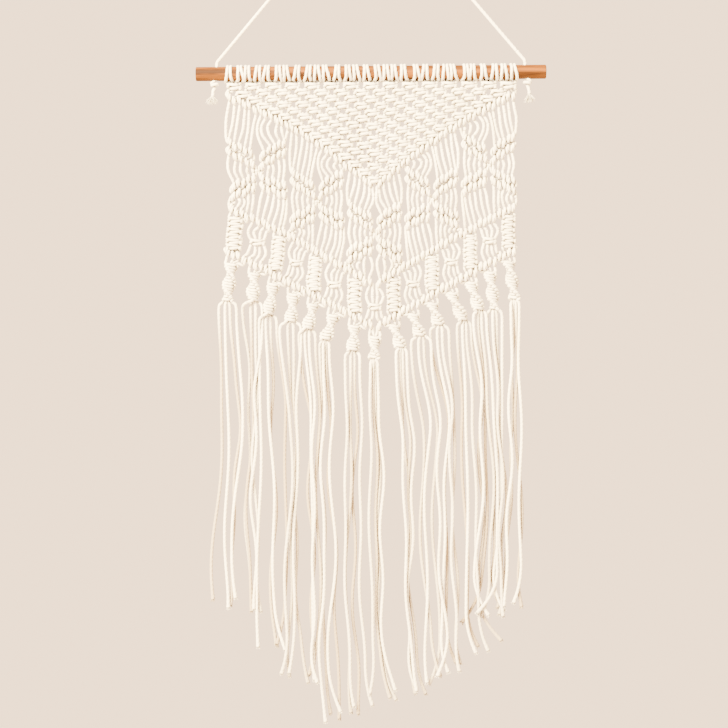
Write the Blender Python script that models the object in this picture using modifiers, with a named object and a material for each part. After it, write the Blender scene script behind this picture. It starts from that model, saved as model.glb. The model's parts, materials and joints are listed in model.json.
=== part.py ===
"""Macrame wall hanging: a wooden dowel on a hanging cord, with a knotted panel and fifteen tassels.

The origin is where the hanging cord rests on its hook.
+X is to the right, +Z is up, and -Y faces the viewer.
A drop is a distance below the dowel's axis.
"""
import math

import bmesh
import bpy
from mathutils import Matrix, Vector
from mathutils.geometry import delaunay_2d_cdt

MM = 0.001
COLLECTION = "macrame_wall_hanging"
CUTTERS = "cutters"
INSIDE_WITHOUT_HOLES = 2  # the triangulation keeps what lies inside the outline and outside its holes

# The cord and the clearances
CORD_D = 3.5 * MM
GAP = 0.3 * MM  # between two pieces that touch
TUBE_RESOLUTION = 2  # eight sides on a cord
KNUCKLE_D = CORD_D * 1.04  # a cord's round end on a hinge point

# The panel: columns of four strands
STRANDS = 4
STRAND_PITCH = 4.9 * MM
COLUMNS = 15
COLUMN_PITCH = STRANDS * STRAND_PITCH
PANEL_HALF = COLUMNS * COLUMN_PITCH / 2

# The dowel, which stands out past the panel with a drilled hole on each side
DOWEL_D = 14.0 * MM
DOWEL_DEPTH = 183.0 * MM  # from the hook down to the dowel's axis
DOWEL_EDGE = 0.6 * MM
DOWEL_SIDES = 64
HOLE_OUT = 7.0 * MM  # from the panel's edge to a hole
DOWEL_END = 21.0 * MM  # from a hole to the dowel's end
HOLE_D = CORD_D + 1.5 * MM
HOLE_X = PANEL_HALF + HOLE_OUT
DOWEL_LENGTH = 2 * (HOLE_X + DOWEL_END)

# The hanging cord
HOOK_BEND = 15.0 * MM  # inner radius of the cord's bend over the hook
MOUTH_BEND = 7.0 * MM  # radius of the bend where a leg leaves its hole
HINGE_LIFT = CORD_D / 2 + 0.75 * MM  # from the dowel's top to the point where a leg folds
CORD_STEP = 8.0 * MM

# The stop knots under the dowel
STOP_KNOT_D = 9.5 * MM
STOP_TAIL = 9.0 * MM
STOP_BRUSH = 11.0 * MM
STOP_BRUSH_D = 7.0 * MM

# The lark's heads and the first row of square knots
HEAD_W = 2 * CORD_D + 0.6 * MM
HEAD_SIDES = 16
FIRST_KNOT_W = 15.0 * MM
FIRST_KNOT_H = 7.0 * MM
FIRST_KNOT_TOP = DOWEL_D / 2 + 2.0 * MM
FIRST_KNOT_BOTTOM = FIRST_KNOT_TOP + FIRST_KNOT_H

# The net of alternating square knots
NET_DEPTH = 6.0 * MM
NET_HOLE_W = 7.0 * MM
NET_HOLE_H = 3.6 * MM

# The chevrons: the drop at the edge, then the fall to the middle and the part of it that steepens
UPPER = (21.0 * MM, 62.0 * MM, 32.0 * MM)
MIDDLE = (133.0 * MM, 69.0 * MM, 10.0 * MM)
LOWER = (176.0 * MM, 73.0 * MM, 6.0 * MM)
CHEVRON_H = 9.0 * MM
CHEVRON_DEPTH = 8.0 * MM
CHEVRON_STEPS = 8  # straight runs on each half

# The crosses between the upper and the middle chevron
CROSS_COLUMNS = 3  # each cross is three columns wide
CROSS_DROPS = (93.0 * MM, 125.0 * MM, 158.0 * MM, 125.0 * MM, 93.0 * MM)
CROSS_DEPTH = 7.0 * MM
CROSS_EDGE = 5.4 * MM  # from the end of an arm to the cross's side
CROSS_UP = 30.0 * MM  # how far the upper arms rise
CROSS_DOWN = 22.0 * MM  # how far the lower arms fall
CROSS_ARM = 14.0 * MM  # half the height of a double row of hitches
CROSS_EYE = 4.5 * MM  # half the gap between the upper arms' two rows
CROSS_WAIST = 10.0 * MM  # half the width that the arms share in the middle
CROSS_SIDE = 0.3  # share of an arm's rise that the gap at each side takes
SLOT_W = 1.4 * MM  # the gap between two loose strands
SLOT_MARGIN = 2.5 * MM

# The columns between the middle and the lower chevron
SINNET_W = 13.0 * MM
SINNET_DEPTH = 7.0 * MM
GATHER_W = 16.0 * MM
GATHER_WAIST = 10.0 * MM
GATHER_DEPTH = 4.5 * MM

# The tassels: the length of each spiral of half knots, and the drop that its strands reach
NECK_LENGTH = 4.5 * MM
SPIRAL_D = 10.0 * MM
SPIRAL_SIDES = 10
SPIRALS = tuple(n * MM for n in (45, 35, 36, 34, 30, 30, 31, 29, 29, 27, 29, 33, 33, 43, 45))
ENDS = tuple(n * MM for n in (532, 538, 575, 606, 607, 645, 640, 625, 620, 609, 596, 578, 547, 541, 536))
STRAND_ENDS = (-4.0 * MM, 2.0 * MM, 0.0, -6.0 * MM)  # each strand's end past the tassel's own
START_SPREAD = 0.38  # share of its lane that a strand takes where it leaves the spiral
KNEE_SPREAD = 0.9  # the same at the knee, where the strands have spread
KNEE_DROP = 25.0 * MM
START_STAGGER = CORD_D * 0.56  # every other strand starts behind, so that the four fit in the spiral
KNEE_STAGGER = CORD_D * 0.3

COTTON = (0.86, 0.79, 0.69, 1.0)
PINE = (0.62, 0.33, 0.15, 1.0)


# Scene and materials

def clear_scene():
    for obj in list(bpy.data.objects):
        bpy.data.objects.remove(obj, do_unlink=True)
    for collection in list(bpy.data.collections):
        bpy.data.collections.remove(collection)


def new_collection(name):
    collection = bpy.data.collections.new(name)
    bpy.context.scene.collection.children.link(collection)
    return collection


def finish(name, colour, roughness):
    material = bpy.data.materials.new(name)
    material.use_nodes = True
    shader = material.node_tree.nodes["Principled BSDF"]
    shader.inputs["Base Color"].default_value = colour
    shader.inputs["Roughness"].default_value = roughness
    shader.inputs["Metallic"].default_value = 0.0
    return material


def cotton(name):
    return finish(name + "_cotton", COTTON, 0.9)


def link(name, data, material=None, cutter=False):
    """A new object in the model's collection, or a hidden one among the cutters."""
    obj = bpy.data.objects.new(name, data)
    bpy.data.collections[CUTTERS if cutter else COLLECTION].objects.link(obj)
    if cutter:
        obj.hide_render = True
        obj.display_type = "WIRE"
    if material:
        data.materials.append(material)
    return obj


# Shapes

def flat_piece(name, rings, depth):
    """An outline in X and Z, with holes, extruded along Y about the panel's plane."""
    corners, edges = [], []
    for ring in rings:
        first, count = len(corners), len(ring)
        corners += [Vector(corner) for corner in ring]
        edges += [(first + i, first + (i + 1) % count) for i in range(count)]
    filled = delaunay_2d_cdt(corners, edges, [], INSIDE_WITHOUT_HOLES, 0.0)
    work = bmesh.new()
    front = [work.verts.new((x, z, depth / 2)) for x, z in filled[0]]
    faces = [work.faces.new([front[i] for i in triangle]) for triangle in filled[2]]
    grown = bmesh.ops.extrude_face_region(work, geom=faces, use_keep_orig=True)["geom"]
    back = [piece for piece in grown if isinstance(piece, bmesh.types.BMVert)]
    bmesh.ops.translate(work, vec=(0.0, 0.0, -depth), verts=back)
    bmesh.ops.recalc_face_normals(work, faces=work.faces)
    mesh = bpy.data.meshes.new(name)
    work.to_mesh(mesh)
    work.free()
    obj = link(name, mesh, cotton(name))
    obj.rotation_euler.x = math.pi / 2
    return obj


def cord_curve(name, points, diameter):
    curve = bpy.data.curves.new(name, "CURVE")
    curve.dimensions = "3D"
    curve.bevel_depth = diameter / 2
    curve.bevel_resolution = TUBE_RESOLUTION
    curve.use_fill_caps = True
    spline = curve.splines.new("POLY")
    spline.points.add(len(points) - 1)
    for point, place in zip(spline.points, points):
        point.co = (*place, 1.0)
    return curve


def tube(name, points, diameter):
    """A hidden tube as a welded mesh, ready for a Boolean."""
    curve_object = link(name + "_curve", cord_curve(name, points, diameter), cutter=True)
    bpy.context.view_layer.update()
    evaluated = curve_object.evaluated_get(bpy.context.evaluated_depsgraph_get())
    mesh = bpy.data.meshes.new_from_object(evaluated)
    bpy.data.objects.remove(curve_object, do_unlink=True)
    work = bmesh.new()
    work.from_mesh(mesh)
    bmesh.ops.remove_doubles(work, verts=work.verts, dist=0.00001)
    work.to_mesh(mesh)
    work.free()
    return link(name, mesh, cutter=True)


def primitive(name, make, matrix, cutter=True):
    """A closed bmesh primitive at a place; make fills the bmesh."""
    work = bmesh.new()
    make(work)
    bmesh.ops.transform(work, matrix=matrix, verts=work.verts)
    mesh = bpy.data.meshes.new(name)
    work.to_mesh(mesh)
    work.free()
    mesh.shade_smooth()
    mesh.set_sharp_from_angle(angle=math.radians(40))
    return link(name, mesh, cutter=cutter)


def cone(name, bottom, top, bottom_d, top_d, sides, cutter=True):
    """A cylinder or a cone between two points."""
    bottom, top = Vector(bottom), Vector(top)
    turn = (top - bottom).to_track_quat("Z", "Y").to_matrix().to_4x4()
    place = Matrix.Translation((bottom + top) / 2) @ turn

    def make(work):
        bmesh.ops.create_cone(
            work,
            cap_ends=True,
            segments=sides,
            radius1=bottom_d / 2,
            radius2=top_d / 2,
            depth=(top - bottom).length,
        )

    return primitive(name, make, place, cutter)


def ball(name, centre, diameter):
    def make(work):
        bmesh.ops.create_uvsphere(work, u_segments=10, v_segments=6, radius=diameter / 2)

    return primitive(name, make, Matrix.Translation(centre))


def box(name, centre, size):
    def make(work):
        bmesh.ops.create_cube(work, size=1.0)

    return primitive(name, make, Matrix.Translation(centre) @ Matrix.Diagonal((*size, 1.0)))


def fuse(name, pieces):
    """Joins hidden closed pieces that overlap into one named piece."""
    first, *rest = pieces
    first.name = name
    bpy.data.collections[CUTTERS].objects.unlink(first)
    bpy.data.collections[COLLECTION].objects.link(first)
    first.hide_render = False
    first.display_type = "TEXTURED"
    first.data.materials.append(cotton(name))
    for piece in rest:
        join = first.modifiers.new("join_" + piece.name, "BOOLEAN")
        join.operation = "UNION"
        join.object = piece
    return first


# Places on the panel

def height(drop):
    return -DOWEL_DEPTH - drop


def column_x(column):
    return (column - (COLUMNS - 1) / 2) * COLUMN_PITCH


def chevron_drop(chevron, x):
    """The drop of a chevron's middle line: it falls towards the panel's middle, and steepens as it goes."""
    edge, fall, bend = chevron
    inward = 1.0 - abs(x) / PANEL_HALF
    return edge + fall * inward + bend * inward**2


def above(chevron, x):
    """Where a piece that ends on a chevron from above stops."""
    return height(chevron_drop(chevron, x) - CHEVRON_H / 2 - GAP)


def below(chevron, x):
    """Where a piece that starts under a chevron begins."""
    return height(chevron_drop(chevron, x) + CHEVRON_H / 2 + GAP)


def steps(left, right, count):
    return [left + (right - left) * i / count for i in range(count + 1)]


def chevron_xs():
    return steps(-PANEL_HALF, PANEL_HALF, 2 * CHEVRON_STEPS)


def between(left, right):
    """The chevrons' corners between two places, with the places themselves."""
    inner = [x for x in chevron_xs() if left < x < right]
    return [left, *inner, right]


# The pieces

def dowel():
    axis_z = height(0.0)
    ends = [(side * DOWEL_LENGTH / 2, 0.0, axis_z) for side in (-1, 1)]
    rod = cone("dowel", ends[0], ends[1], DOWEL_D, DOWEL_D, DOWEL_SIDES, cutter=False)
    rod.data.materials.append(finish("dowel_wood", PINE, 0.55))
    bevel = rod.modifiers.new("edges", "BEVEL")
    bevel.width = DOWEL_EDGE
    bevel.limit_method = "ANGLE"
    bevel.angle_limit = math.radians(60)
    for side, x in (("left", -HOLE_X), ("right", HOLE_X)):
        low, high = (x, 0.0, axis_z - DOWEL_D), (x, 0.0, axis_z + DOWEL_D)
        drill = cone("hole_" + side, low, high, HOLE_D, HOLE_D, 16)
        cut = rod.modifiers.new(drill.name, "BOOLEAN")
        cut.operation = "DIFFERENCE"
        cut.object = drill


def hinge_height():
    """The height where the hanging cord's legs fold on the dowel."""
    return height(-DOWEL_D / 2) + HINGE_LIFT


def arc(centre, radius, start, end, count):
    """Points on an arc in the panel's plane; angles are from +X towards +Z."""
    angles = steps(start, end, count)
    return [(centre[0] + radius * math.cos(a), 0.0, centre[1] + radius * math.sin(a)) for a in angles]


def hanging_route():
    """One leg up out of its hole, a bend, a straight run, the bend over the hook, and the same mirrored."""
    bend = HOOK_BEND + CORD_D / 2
    hook = (0.0, -HOOK_BEND)  # the cord's underside rests at the origin
    mouth = (HOLE_X - MOUTH_BEND, hinge_height())
    across, up = hook[0] - mouth[0], hook[1] - mouth[1]
    lean = math.atan2(up, across) - math.asin((MOUTH_BEND - bend) / math.hypot(across, up))
    out = lean - math.pi / 2
    low = arc(mouth, MOUTH_BEND, 0.0, out, 3)
    over = arc(hook, bend, out, math.pi / 2, 5)
    run = Vector(over[0]) - Vector(low[-1])
    count = round(run.length / CORD_STEP)
    middle = [tuple(Vector(low[-1]) + run * i / count) for i in range(1, count)]
    right = low + middle + over
    return right + [(-x, y, z) for x, y, z in reversed(right[:-1])]


def hanging_cord():
    """The cord from hole to hole, with a round end on each hinge point."""
    cord = tube("cord_run", hanging_route(), CORD_D)
    ends = (("left", -HOLE_X), ("right", HOLE_X))
    knuckles = [ball(f"knuckle_{side}", (x, 0.0, hinge_height()), KNUCKLE_D) for side, x in ends]
    fuse("hanging_cord", [cord, *knuckles])


def stop_knot(side, x):
    """The cord's end: down through the hole, a knot under the dowel, and a short frayed tail."""
    top = hinge_height() - CORD_D / 2 - 2 * GAP
    knot_z = height(DOWEL_D / 2) - GAP - STOP_KNOT_D / 2
    tail_z = knot_z - STOP_KNOT_D / 2 - STOP_TAIL
    shank = cone(f"shank_{side}", (x, 0.0, knot_z), (x, 0.0, top), CORD_D, CORD_D, 8)
    knot = ball(f"knot_{side}", (x, 0.0, knot_z), STOP_KNOT_D)
    tail = cone(f"tail_{side}", (x, 0.0, tail_z), (x, 0.0, knot_z), CORD_D, CORD_D, 8)
    brush_end = (x, 0.0, tail_z - STOP_BRUSH)
    brush = cone(f"brush_{side}", brush_end, (x, 0.0, tail_z + CORD_D), STOP_BRUSH_D, CORD_D - GAP, 8)
    fuse(f"stop_knot_{side}", [knot, shank, tail, brush])


def head_ring(name, x):
    """One lark's head round the dowel: its outline in section, turned about the dowel's axis."""
    inner = (DOWEL_D / 2 + GAP) / math.cos(math.pi / HEAD_SIDES)
    outer = inner + CORD_D
    left, right = x - HEAD_W / 2, x + HEAD_W / 2
    corners = ((left, outer), (right, outer), (right, inner), (left, inner))
    mesh = bpy.data.meshes.new(name)
    loop = range(len(corners))
    mesh.from_pydata([(px, 0.0, pz) for px, pz in corners], [(i, (i + 1) % len(corners)) for i in loop], [])
    ring = link(name, mesh, cutter=True)
    ring.location.z = height(0.0)
    turn = ring.modifiers.new("turn", "SCREW")
    turn.axis = "X"
    turn.steps = HEAD_SIDES
    turn.render_steps = HEAD_SIDES
    turn.use_merge_vertices = True
    turn.merge_threshold = 0.00001
    return ring


def head_pair(column):
    """Two lark's heads and the first square knot, which ties their four strands together."""
    x = column_x(column)
    rings = [head_ring(f"head_{column}_{i}", x + side * COLUMN_PITCH / 4) for i, side in ((1, -1), (2, 1))]
    middle = height((FIRST_KNOT_TOP + FIRST_KNOT_BOTTOM) / 2)
    size = (FIRST_KNOT_W, NET_DEPTH, FIRST_KNOT_BOTTOM - FIRST_KNOT_TOP)
    knot = box(f"first_knot_{column}", (x, 0.0, middle), size)
    fuse(f"larks_heads_{column + 1:02d}", [knot, *rings])


def row_drop(row, x):
    """The drop of a row of knots at x: the rows share the room between the dowel and the upper chevron."""
    count = COLUMNS - 2 * abs(x) / COLUMN_PITCH
    room = chevron_drop(UPPER, x) - CHEVRON_H / 2 - FIRST_KNOT_TOP
    return FIRST_KNOT_TOP + (row - 0.5) * room / count


def net():
    """The net of alternating square knots: a triangle with a small gap between each two knots of a row."""
    top = height(FIRST_KNOT_BOTTOM + GAP)
    lower = [(x, above(UPPER, x)) for x in chevron_xs() if above(UPPER, x) < top - GAP]
    corner = next(x for x in steps(-PANEL_HALF, 0.0, 200) if above(UPPER, x) < top - GAP)
    outline = [(corner, top), *lower, (-corner, top)]
    holes = []
    for row in range(3, COLUMNS):
        knots = COLUMNS + 1 - row
        for gap in range(1, knots):
            x = (gap - knots / 2) * COLUMN_PITCH
            z = height(row_drop(row, x))
            w, h = NET_HOLE_W / 2, NET_HOLE_H / 2
            holes.append([(x - w, z), (x, z - h), (x + w, z), (x, z + h)])
    flat_piece("square_knot_net", [outline, *holes], NET_DEPTH)


def chevron(name, shape):
    xs = chevron_xs()
    upper = [(x, height(chevron_drop(shape, x) - CHEVRON_H / 2)) for x in xs]
    lower = [(x, height(chevron_drop(shape, x) + CHEVRON_H / 2)) for x in reversed(xs)]
    flat_piece(name, [upper + lower], CHEVRON_DEPTH)


def cross(number):
    """A cross of double hitch rows, with the loose strands that join it to the chevrons."""
    width = CROSS_COLUMNS * COLUMN_PITCH
    x0 = (number - (len(CROSS_DROPS) - 1) / 2) * width
    z0 = height(CROSS_DROPS[number])
    left, right = x0 - width / 2 + GAP, x0 + width / 2 - GAP
    xs = between(left, right)
    outline = [(x, below(UPPER, x)) for x in xs] + [(x, above(MIDDLE, x)) for x in reversed(xs)]
    side, low, middle, high = CROSS_EYE, z0, z0 + CROSS_EYE, z0 + 2 * CROSS_EYE
    eye = [(x0 - side, middle), (x0, low), (x0 + side, middle), (x0, high)]
    rings = [outline, eye]
    reach = width / 2 - CROSS_EDGE
    for side in (-1, 1):
        inner, outer = x0 + side * CROSS_WAIST, x0 + side * reach
        top, bottom = z0 + CROSS_UP * CROSS_SIDE, z0 - CROSS_DOWN * CROSS_SIDE
        rings.append([(inner, z0), (outer, top), (outer, bottom)])
    strands = STRANDS * CROSS_COLUMNS
    for i in range(1, strands):
        offset = (i - strands / 2) * STRAND_PITCH
        share = abs(offset) / reach
        x = x0 + offset
        arm_top = z0 + CROSS_UP * share + CROSS_ARM
        arm_bottom = z0 - CROSS_DOWN * share - CROSS_ARM
        for high, low in ((below(UPPER, x), arm_top), (arm_bottom, above(MIDDLE, x))):
            high, low = high - 2 * SLOT_MARGIN, low + SLOT_MARGIN
            if high - low > 2 * SLOT_W:
                middle = (high + low) / 2
                rings.append([(x, high), (x + SLOT_W / 2, middle), (x, low), (x - SLOT_W / 2, middle)])
    flat_piece(f"cross_{number + 1}", rings, CROSS_DEPTH)


def column_outline(x0, top_w, waist_w, bottom_w):
    """A column from the middle to the lower chevron, with straight sides to its waist."""
    high = [(x, below(MIDDLE, x)) for x in between(x0 - top_w / 2, x0 + top_w / 2)]
    low = [(x, above(LOWER, x)) for x in between(x0 - bottom_w / 2, x0 + bottom_w / 2)]
    z = (below(MIDDLE, x0) + above(LOWER, x0)) / 2
    return high + [(x0 + waist_w / 2, z)] + low[::-1] + [(x0 - waist_w / 2, z)]


def square_sinnet(number, column):
    outline = column_outline(column_x(column), SINNET_W, SINNET_W, SINNET_W)
    flat_piece(f"square_sinnet_{number}", [outline], SINNET_DEPTH)


def gathered_strands(number, column):
    """Four loose strands drawn together by one knot at the waist."""
    x = column_x(column)
    high, low = below(MIDDLE, x), above(LOWER, x)
    middle = (high + low) / 2
    rings = [column_outline(x, GATHER_W, GATHER_WAIST, GATHER_W)]
    for end, side in ((high, 1), (low, -1)):
        near, far = middle + side * CORD_D, end - side * 2 * SLOT_MARGIN
        half = (near + far) / 2
        rings.append([(x, near), (x + SLOT_W, half), (x, far), (x - SLOT_W, half)])
    flat_piece(f"gathered_strands_{number}", rings, GATHER_DEPTH)


def tassel_hinge(column):
    """The point under the lower chevron where a tassel swings."""
    x = column_x(column)
    left, right = (chevron_drop(LOWER, x + side * CORD_D) for side in (-1, 1))
    slope = (right - left) / (2 * CORD_D)
    reach = (CORD_D / 2 + GAP) * math.hypot(1.0, slope)
    return Vector((x, 0.0, below(LOWER, x) + GAP - reach))


def tassel(column):
    """A neck on the hinge, a spiral of half knots, and four hanging strands."""
    hinge = tassel_hinge(column)
    number = column + 1
    spiral_top = hinge + Vector((0.0, 0.0, -NECK_LENGTH))
    spiral_low = spiral_top + Vector((0.0, 0.0, NECK_LENGTH - SPIRALS[column]))
    spiral = cone(f"spiral_{number}", spiral_low, spiral_top, SPIRAL_D, SPIRAL_D, SPIRAL_SIDES)
    neck = tube(f"neck_{number}", [hinge, spiral_top - Vector((0.0, 0.0, CORD_D))], CORD_D)
    pieces = [spiral, neck, ball(f"knuckle_{number}", hinge, KNUCKLE_D)]
    for strand in range(STRANDS):
        across = (strand - (STRANDS - 1) / 2) * STRAND_PITCH
        side = -1 if strand % 2 else 1
        start = spiral_low + Vector((across * START_SPREAD, side * START_STAGGER, CORD_D))
        knee = spiral_low + Vector((across * KNEE_SPREAD, side * KNEE_STAGGER, -KNEE_DROP))
        end = Vector((hinge.x + across, 0.0, height(ENDS[column] + STRAND_ENDS[strand])))
        pieces.append(tube(f"strand_{number}_{strand + 1}", [start, knee, end], CORD_D))
    fuse(f"tassel_{number:02d}", pieces)


def model():
    clear_scene()
    new_collection(COLLECTION)
    new_collection(CUTTERS)
    dowel()
    hanging_cord()
    stop_knot("left", -HOLE_X)
    stop_knot("right", HOLE_X)
    for column in range(COLUMNS):
        head_pair(column)
    net()
    chevron("upper_chevron", UPPER)
    for number in range(len(CROSS_DROPS)):
        cross(number)
    chevron("middle_chevron", MIDDLE)
    for column in range(COLUMNS):
        number = column // 2 + 1
        if column % 2:
            gathered_strands(number, column)
        else:
            square_sinnet(number, column)
    chevron("lower_chevron", LOWER)
    for column in range(COLUMNS):
        tassel(column)


model()
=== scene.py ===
"""Looks of the macrame wall hanging: every strand of cotton cord is followed from the dowel to the fringe.

Each strand is a list of points, laid by the knots it passes through. A smooth curve through the points
carries a three-ply rope surface, which is cut where the strand passes from one piece to the next.
Lengths are in millimetres until a mesh is built. +X is right, +Z up, and -Y faces the viewer.
"""

import json
import math
from functools import partial

import bpy
import numpy as np
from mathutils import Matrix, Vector


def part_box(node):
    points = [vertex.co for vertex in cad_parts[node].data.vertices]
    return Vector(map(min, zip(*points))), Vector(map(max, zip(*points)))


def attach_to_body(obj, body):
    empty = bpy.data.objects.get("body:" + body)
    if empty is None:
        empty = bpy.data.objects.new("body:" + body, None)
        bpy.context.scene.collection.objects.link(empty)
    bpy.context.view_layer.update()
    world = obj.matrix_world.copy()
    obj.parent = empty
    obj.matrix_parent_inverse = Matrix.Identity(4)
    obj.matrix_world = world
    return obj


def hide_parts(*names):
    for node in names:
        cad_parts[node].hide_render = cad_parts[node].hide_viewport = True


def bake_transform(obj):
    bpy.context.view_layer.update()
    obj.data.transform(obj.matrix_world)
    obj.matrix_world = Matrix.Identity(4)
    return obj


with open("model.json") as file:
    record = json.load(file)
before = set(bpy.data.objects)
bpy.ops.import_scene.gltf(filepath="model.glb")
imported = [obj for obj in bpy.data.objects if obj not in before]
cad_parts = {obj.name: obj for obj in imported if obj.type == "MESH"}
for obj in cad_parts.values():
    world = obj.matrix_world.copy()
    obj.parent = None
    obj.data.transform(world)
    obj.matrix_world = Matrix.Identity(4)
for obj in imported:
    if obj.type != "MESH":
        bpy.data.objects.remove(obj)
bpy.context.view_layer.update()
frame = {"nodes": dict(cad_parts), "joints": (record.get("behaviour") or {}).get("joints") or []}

MM = 0.001
SEED = 11

# The strands
STRANDS = 60
PER_COLUMN = 4
COLUMNS = STRANDS // PER_COLUMN
CORD_R = 1.62
TIGHT_R = 1.62  # a strand drawn into a square knot, and a holding cord
HITCH_R = 1.5
HITCH_R_VARIES = 0.12
HITCH_ZIGZAG = 1.0  # how far every second hitch of a row sits above the row's line, and the others below it
HITCH_STRAY = (0.5, 0.8)  # how far a hitch may be off its place, sideways and up or down
HITCH_H = 0.84  # a hitch's height against the shape that hitch() draws
HITCH_REACH = (0.115, 0.15)  # its reach along the row, as a share of a lane for each unit of that shape
HITCH_STEEP = (0.85, 1.25)  # how steep its loops stand: 0 is square to the row, 1 is upright
HITCH_STEP = (0.9, 0.5)  # how much higher the first loop sits, and how far that varies
SIDES = 12
PLIES = 3
PLY_DEPTH = 0.06  # half the depth of the grooves between the plies, as a share of the radius
LAY = 14.0  # the length of one turn of the plies
RING = 1.0  # the distance between two rings of a strand's surface
SAME_PLACE = 0.05  # points closer than this count as one
TINTS = (0.82, 1.0)  # from a greyer strand to a white one
PAINTED_SHADE_RUN = 45.0  # the stretch under its spiral over which a strand of the fringe goes over to its painted shade
LAY_SHIFT = 3.7  # each strand's plies start this much further on than its neighbour's

# The knots
HALF_KNOT_W = 6.5  # from a knot's middle to its workers
HALF_KNOT_D = 3.1  # from a knot's middle to its front bar
FILLER = 1.8  # from a knot's middle to each of the two strands inside it
NET_TOP = 10.0  # drop of the first row of square knots
NET_FOOT = 4.2  # from the last row of square knots to the upper chevron's line
NET_FILL = 0.95  # share of a row's height that its knots take
NET_KNOT_MOST = 7.4  # the tallest row that a knot of the net still fills
NET_KNOT_R = 1.7
PRESSED = 0.15  # how far a lark's head's middle stays off the dowel, as a share of the cord's radius

random = np.random.default_rng(SEED)


# What the frame says

def mm(value):
    return value / MM


def node_box(name):
    low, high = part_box(name)
    return [mm(v) for v in low], [mm(v) for v in high]


dowel_low, dowel_high = node_box("dowel")
AXIS_Z = (dowel_low[2] + dowel_high[2]) / 2
DOWEL_R = (dowel_high[2] - dowel_low[2]) / 2
PANEL_HALF = node_box("upper_chevron")[1][0]
LANE = 2 * PANEL_HALF / STRANDS
COLUMN = LANE * PER_COLUMN


def middle_line(name):
    """A chevron's middle as heights over X, read from its CAD node."""
    heights = {}
    for vertex in frame["nodes"][name].data.vertices:
        heights.setdefault(round(mm(vertex.co.x), 1), []).append(mm(vertex.co.z))
    xs = sorted(heights)
    return np.array(xs), np.array([(max(heights[x]) + min(heights[x])) / 2 for x in xs])


LINES = {name: middle_line(name) for name in ("upper_chevron", "middle_chevron", "lower_chevron")}


def line_z(name, x):
    xs, zs = LINES[name]
    return float(np.interp(x, xs, zs))


def lane_x(lane):
    return (lane - (STRANDS - 1) / 2) * LANE


def column_x(column):
    return (column - (COLUMNS - 1) / 2) * COLUMN


def hinge(joint):
    place = next(j["pos_m"] for j in frame["joints"] if j["name"] == joint)
    return [mm(v) for v in place]


# How the real panel hangs: it isn't quite even, and these sideways shifts follow it

SIDEWAYS_AT = (-147.0, -128.0, -100.0, -60.0, -29.0, 0.0, 29.0, 88.0, 147.0)
IN_CROSSES = (-0.7, 2.0, 5.3, 4.3, 3.3, 3.0, 2.3, 0.3, -0.7)
IN_COLUMNS = (-1.6, -0.6, -0.6, -0.1, 1.4, 2.4, 1.4, 0.4, -0.1)
WAIST = 4.5  # how far the left edge is drawn in beside the first cross
WAIST_DROP, WAIST_RUN = 117.0, 17.0  # where it is narrowest, and how far up and down that reaches
LEFT_LEAN = 3.0  # how far the left edge stands out beside the columns


def ease(value, start, end):
    """A smooth step from 0 at the start to 1 at the end."""
    share = min(max((value - start) / (end - start), 0.0), 1.0)
    return share * share * (3.0 - 2.0 * share)


def sideways(x, z):
    """The shift of a strand's point: one table over X holds for the crosses, and another below them."""
    drop = AXIS_Z - z
    upper = ease(drop, 12.0, 75.0) * (1.0 - ease(drop, 165.0, 215.0))
    lower = ease(drop, 165.0, 215.0)
    in_crosses = float(np.interp(x, SIDEWAYS_AT, IN_CROSSES))
    in_columns = float(np.interp(x, SIDEWAYS_AT, IN_COLUMNS))
    shift = upper * in_crosses + lower * in_columns
    waist = ease(-x, 105.0, 147.0) * math.exp(-(((drop - WAIST_DROP) / WAIST_RUN) ** 2))
    leaning = ease(-x, 118.0, 135.0) * ease(drop, 140.0, 190.0)
    return shift + WAIST * waist - LEFT_LEAN * leaning


# Strands

class Strand:
    """The points that one strand's middle follows, each with its radius and the piece that it is in."""

    def __init__(self):
        self.points, self.radii, self.nodes = [], [], []
        self.shade, self.shade_from = None, 0.0  # a fringe strand's painted shade, darker where it hangs behind, and the height it starts at

    def go(self, node, points, radius=CORD_R):
        for point in points:
            self.points.append(tuple(point))
            self.radii.append(radius)
            self.nodes.append(node)


strands = [Strand() for _ in range(STRANDS)]
order = list(range(STRANDS))  # which strand hangs in each lane


def at(lane):
    return strands[order[lane]]


def group_at(lane):
    """The four strands from a lane on."""
    return [at(lane + i) for i in range(PER_COLUMN)]


def jitter(amount):
    return random.uniform(-amount, amount)


def larks_head(cord):
    """A reverse lark's head: the bar lies behind the dowel, and two turns pass over its front."""
    node = f"larks_heads_{cord // 2 + 1:02d}"
    middle = (lane_x(2 * cord) + lane_x(2 * cord + 1)) / 2
    slide = (1 if cord % 2 else -1) * random.uniform(-0.6, 2.0) * random.choice((-1, 1, 1))
    lean = jitter(1.0)
    open_top = random.uniform(1.35, 1.75)
    open_low = random.uniform(1.9, 2.7)
    # Each point's angle about the dowel, its lift off the dowel and its distance from the knot's middle
    turns = (
        (206, 3.2, 0.0), (212, 3.2, 1.7), (226, 2.9, 3.0), (246, 1.4, 3.4), (268, 0.2, 3.2),
        (300, 0.0, 2.9), (330, 0.0, open_low), (360, 0.0, (open_low + open_top) / 2), (390, 0.0, open_top),
        (425, 0.0, open_top), (460, 0.0, 1.9), (500, 0.0, 1.85), (540, 0.0, 1.8), (575, 0.1, 1.8),
        (600, 0.8, 1.85),
    )
    for side in (-1, 1):
        path = []
        for degrees, lift, out in turns:
            angle = math.radians(degrees)
            radius = DOWEL_R + CORD_R * PRESSED + lift
            on_dowel = ease(degrees, 246.0, 300.0) * (1.0 - ease(degrees, 540.0, 600.0))
            x = middle + side * out + on_dowel * (slide + lean * math.sin(angle))
            path.append((x, -radius * math.cos(angle), AXIS_Z + radius * math.sin(angle)))
        strands[2 * cord + (side + 1) // 2].go(node, path)


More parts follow.
